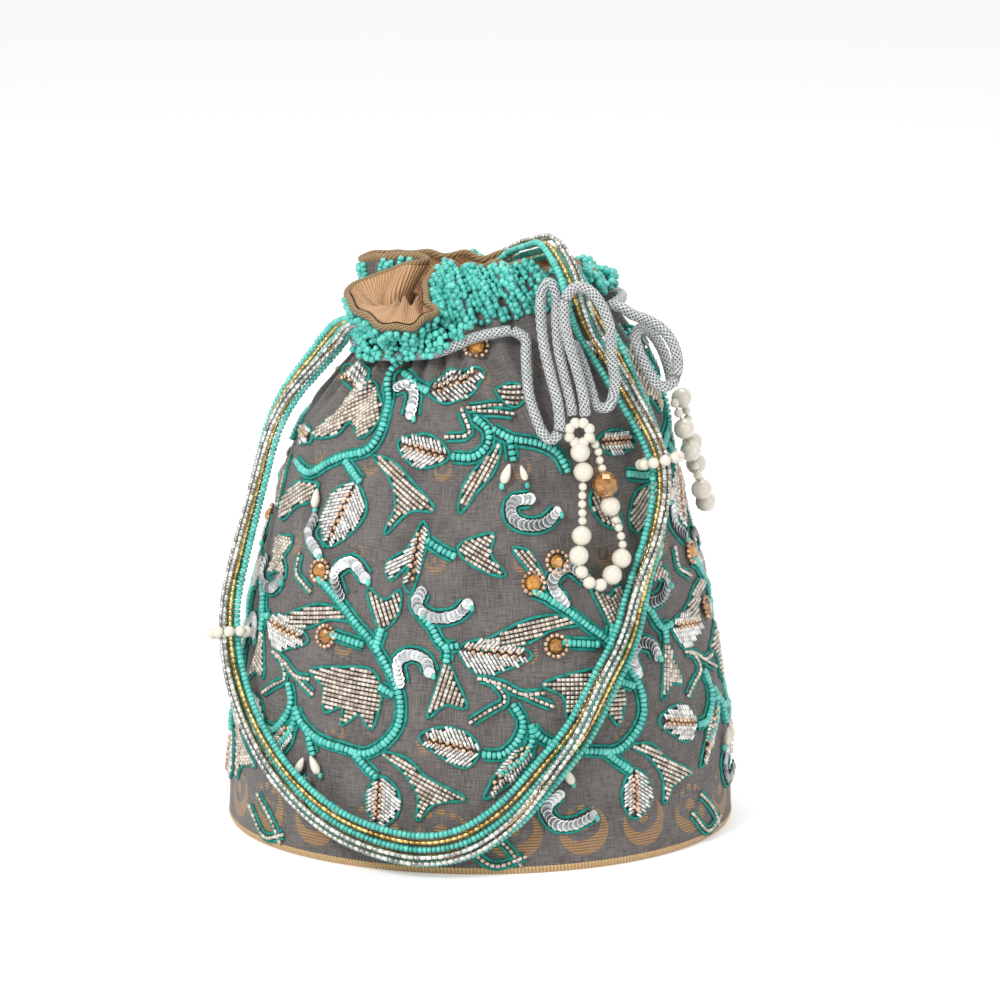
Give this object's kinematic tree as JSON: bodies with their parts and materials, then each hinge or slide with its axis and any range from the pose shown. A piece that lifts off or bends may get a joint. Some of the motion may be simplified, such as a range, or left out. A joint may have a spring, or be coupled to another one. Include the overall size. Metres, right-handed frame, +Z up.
{
  "type": "potli bag",
  "caption": "Rounded drawstring pouch with a flat base, pleated ruff, beaded vine relief, a looped handle of beaded strands and pearl tassels.",
  "frame": {"origin": "centre of the base's underside, where the bag stands", "axes": "+Z up from the table to the ruff, -Y out of the front, +X to the right seen from the front"},
  "size_m": [0.2012, 0.1743, 0.2309],
  "materials": {
    "outer_cloth": "grey brocade weave with gold threads",
    "lining_cloth": "champagne satin with fine stripes",
    "base_cloth": "gold woven cloth",
    "base_board": "stiff pressed board",
    "turquoise_beads": "glossy seed beads",
    "vine_beads": "turquoise, champagne and clear beads with pearls and stones",
    "gold_beads": "gold-lined bugle beads",
    "silver_beads": "silver-lined bugle beads",
    "pearls": "pearl lustre",
    "silver_cord": "braided silver thread"
  },
  "bodies": {
    "root": {"outer_shell": "outer_cloth", "ruff": "outer_cloth", "lining": "lining_cloth", "base_cover": "base_cloth", "base_board": "base_board", "collar_beading_front": "turquoise_beads", "collar_beading_lobe": "turquoise_beads", "vine_lower_1": "vine_beads", "vine_lower_2": "vine_beads", "vine_lower_3": "vine_beads", "vine_lower_4": "vine_beads", "vine_lower_5": "vine_beads", "vine_lower_6": "vine_beads", "vine_upper_1": "vine_beads", "vine_upper_2": "vine_beads", "vine_upper_3": "vine_beads", "vine_upper_4": "vine_beads", "vine_upper_5": "vine_beads", "vine_upper_6": "vine_beads", "strand_turquoise_outer": "turquoise_beads", "strand_turquoise_middle": "turquoise_beads", "strand_turquoise_inner": "turquoise_beads", "strand_gold_outer": "gold_beads", "strand_gold_inner": "gold_beads", "strand_silver_outer": "silver_beads", "strand_silver_inner": "silver_beads", "strand_tie_left": "pearls", "strand_tie_right": "pearls", "tassel_front": "pearls", "tassel_rear": "pearls", "drawstring_neck": "silver_cord", "drawstring_front": "silver_cord", "drawstring_loop": "silver_cord", "drawstring_back": "silver_cord"}
  },
  "joints": []
}
